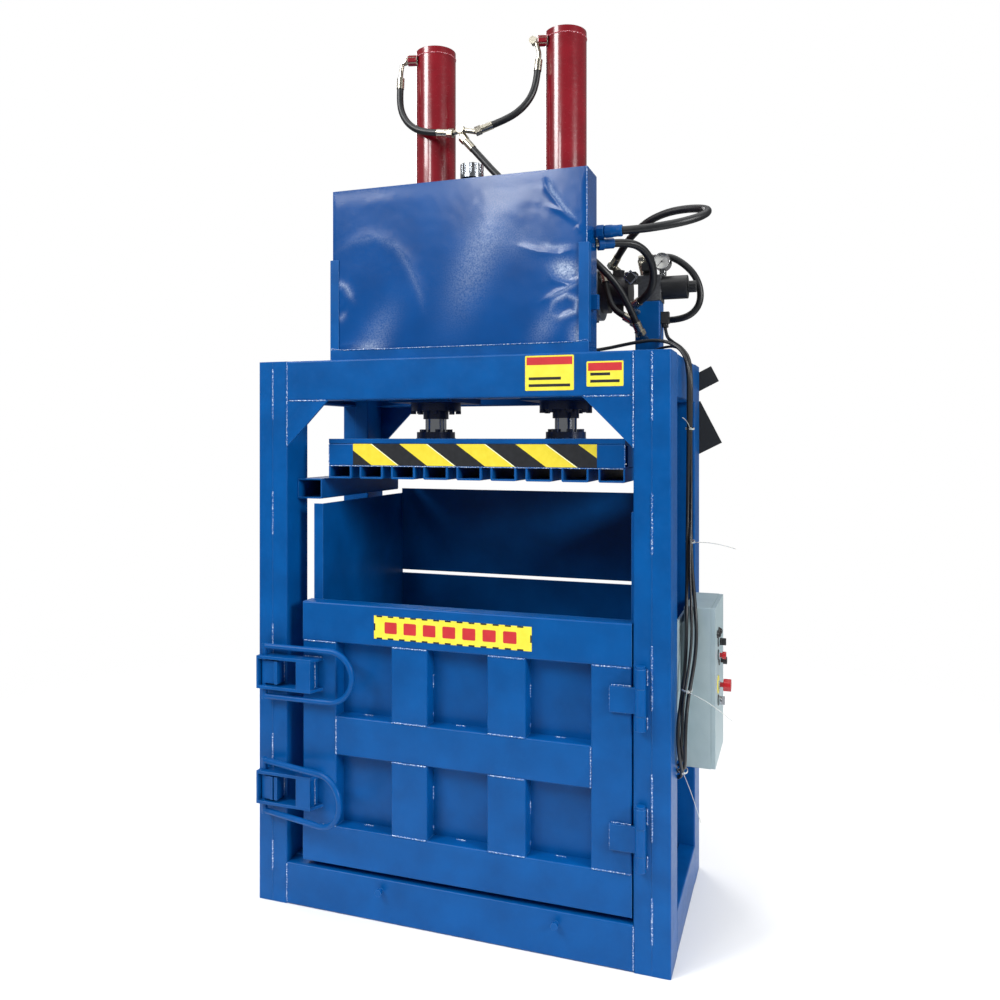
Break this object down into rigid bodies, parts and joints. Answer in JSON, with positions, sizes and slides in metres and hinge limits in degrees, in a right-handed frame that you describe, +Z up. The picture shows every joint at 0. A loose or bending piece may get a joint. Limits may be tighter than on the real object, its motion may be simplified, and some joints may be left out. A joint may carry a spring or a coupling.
{
  "type": "recycling baler",
  "caption": "Vertical hydraulic baler: a welded post frame with a ribbed press platen on paired rams, a latched side-hung loading door, an oil tank and pump on top and a control box on the side",
  "frame": {"origin": "centre of the four posts' footprint, on the floor, on the underside of the middle floor bearer", "axes": "+Z up, +X to the right of someone who faces the loading door, +Y to the back"},
  "size_m": [1.62, 0.8661, 3.11],
  "materials": {
    "blue_paint": "gloss blue enamel over welded steel",
    "hazard_paint": "blue enamel with black and yellow diagonal stripes on the front girder",
    "red_paint": "gloss red enamel",
    "dark_steel": "dark blue-black paint on the glands",
    "hard_chrome": "ground hard chrome on the piston rods",
    "zinc_fitting": "zinc-plated hose fittings",
    "cap_chrome": "bright plated filler cap",
    "black_rubber": "smooth black hose cover",
    "black_pvc": "black cable sheath",
    "grey_enamel": "pale grey-green textured enamel on the control box",
    "black_plastic": "black moulded plastic",
    "black_steel": "matt black painted plate",
    "motor_paint": "blue-grey cast aluminium motor housing",
    "pump_iron": "dark cast iron pump",
    "valve_steel": "blacked steel valve block",
    "gauge_steel": "stainless gauge case with a white dial",
    "needle_black": "black pointer",
    "stop_red": "glossy red mushroom button",
    "button_red": "red push button",
    "button_black": "black push button",
    "switch_black": "black selector knob",
    "lock_chrome": "plated quarter-turn lock",
    "rotor_steel": "steel shaft and rotor with a plastic fan",
    "gear_grey": "dark grey switchgear mouldings"
  },
  "bodies": {
    "frame": {"post_front_left": "blue_paint", "post_front_right": "blue_paint", "post_back_left": "blue_paint", "post_back_right": "blue_paint", "top_beams": "blue_paint", "cylinder_beams": "blue_paint", "corner_gussets": "blue_paint", "base_rails": "blue_paint", "chamber_floor": "blue_paint", "chamber_left_wall": "blue_paint", "chamber_right_wall": "blue_paint", "chamber_back": "blue_paint", "side_rail": "blue_paint", "hinge_knuckles": "blue_paint", "latch_keepers": "blue_paint", "oil_tank": "blue_paint", "tank_cradle": "blue_paint", "unit_stand": "blue_paint", "cylinder_barrels": "red_paint", "cylinder_glands": "dark_steel", "hose_fittings": "zinc_fitting", "electric_motor": "motor_paint", "hydraulic_pump": "pump_iron", "valve_block": "valve_steel", "valve_coils": "black_plastic", "pressure_gauge": "gauge_steel", "control_box": "grey_enamel", "control_gear": "gear_grey", "rear_flaps": "black_steel", "hose_left": "black_rubber", "hose_right": "black_rubber", "hose_down": "black_rubber", "hose_suction": "black_rubber", "hose_return": "black_rubber", "hose_drain": "black_rubber", "hose_pressure": "black_rubber", "cable_motor": "black_pvc", "cable_valve": "black_pvc", "cable_gauge": "black_pvc"},
    "ram": {"platen_frame": "hazard_paint", "platen_plate": "blue_paint", "platen_ribs": "blue_paint", "piston_rods": "hard_chrome", "rod_flanges": "dark_steel"},
    "door": {"door_skin": "blue_paint", "door_frame": "blue_paint", "hinge_leaves": "blue_paint", "latch_brackets": "blue_paint"},
    "upper_latch": {"handle_upper": "blue_paint"},
    "lower_latch": {"handle_lower": "blue_paint"},
    "box_door": {"control_door": "grey_enamel"},
    "stop": {"stop_button": "stop_red"},
    "start_red": {"red_button": "button_red"},
    "start_black": {"black_button": "button_black"},
    "selector": {"selector_switch": "switch_black"},
    "door_lock": {"lock_handle": "lock_chrome"},
    "cap": {"filler_cap": "cap_chrome"},
    "relief": {"relief_knob": "black_plastic"},
    "needle": {"gauge_needle": "needle_black"},
    "rotor": {"motor_rotor": "rotor_steel"}
  },
  "joints": [
    {"name": "ram_stroke", "type": "slide", "parent": "frame", "child": "ram", "axis": [0, 0, -1], "range_m": [0, 1]},
    {"name": "door_swing", "type": "hinge", "parent": "frame", "child": "door", "pos_m": [0.643, -0.393, 0.62], "axis": [0, 0, 1], "range_deg": [0, 120]},
    {"name": "upper_latch_turn", "type": "hinge", "parent": "door", "child": "upper_latch", "pos_m": [-0.69, -0.403, 0.825], "axis": [0, 0, -1], "range_deg": [0, 90]},
    {"name": "lower_latch_turn", "type": "hinge", "parent": "door", "child": "lower_latch", "pos_m": [-0.69, -0.403, 0.42], "axis": [0, 0, -1], "range_deg": [-12, 78]},
    {"name": "box_door_swing", "type": "hinge", "parent": "frame", "child": "box_door", "pos_m": [0.845, 0.115, 0.84], "axis": [0, 0, 1], "range_deg": [0, 110]},
    {"name": "stop_press", "type": "slide", "parent": "box_door", "child": "stop", "axis": [-1, 0, 0], "range_m": [0, 0.008], "stiffness_N_per_m": 900, "springref_m": -0.002},
    {"name": "red_press", "type": "slide", "parent": "box_door", "child": "start_red", "axis": [-1, 0, 0], "range_m": [0, 0.005], "stiffness_N_per_m": 700, "springref_m": -0.002},
    {"name": "black_press", "type": "slide", "parent": "box_door", "child": "start_black", "axis": [-1, 0, 0], "range_m": [0, 0.005], "stiffness_N_per_m": 700, "springref_m": -0.002},
    {"name": "selector_turn", "type": "hinge", "parent": "box_door", "child": "selector", "pos_m": [0.845, -0.08, 0.975], "axis": [1, 0, 0], "range_deg": [-45, 45]},
    {"name": "lock_turn", "type": "hinge", "parent": "box_door", "child": "door_lock", "pos_m": [0.845, -0.08, 0.78], "axis": [1, 0, 0], "range_deg": [0, 90]},
    {"name": "cap_turn", "type": "hinge", "parent": "frame", "child": "cap", "pos_m": [0.044, -0.2675, 2.56], "axis": [0, 0, 1], "range_deg": [0, 90]},
    {"name": "relief_turn", "type": "hinge", "parent": "frame", "child": "relief", "pos_m": [0.735, 0.134, 2.192], "axis": [1, 0, 0], "range_deg": [-540, 540]},
    {"name": "needle_turn", "type": "hinge", "parent": "frame", "child": "needle", "pos_m": [0.631, 0.112, 2.283], "axis": [0, 1, 0], "range_deg": [0, 270], "stiffness_Nm_per_rad": 0.01},
    {"name": "rotor_spin", "type": "hinge", "parent": "frame", "child": "rotor", "pos_m": [0.2, 0.24, 2.205], "axis": [1, 0, 0], "continuous": true}
  ]
}
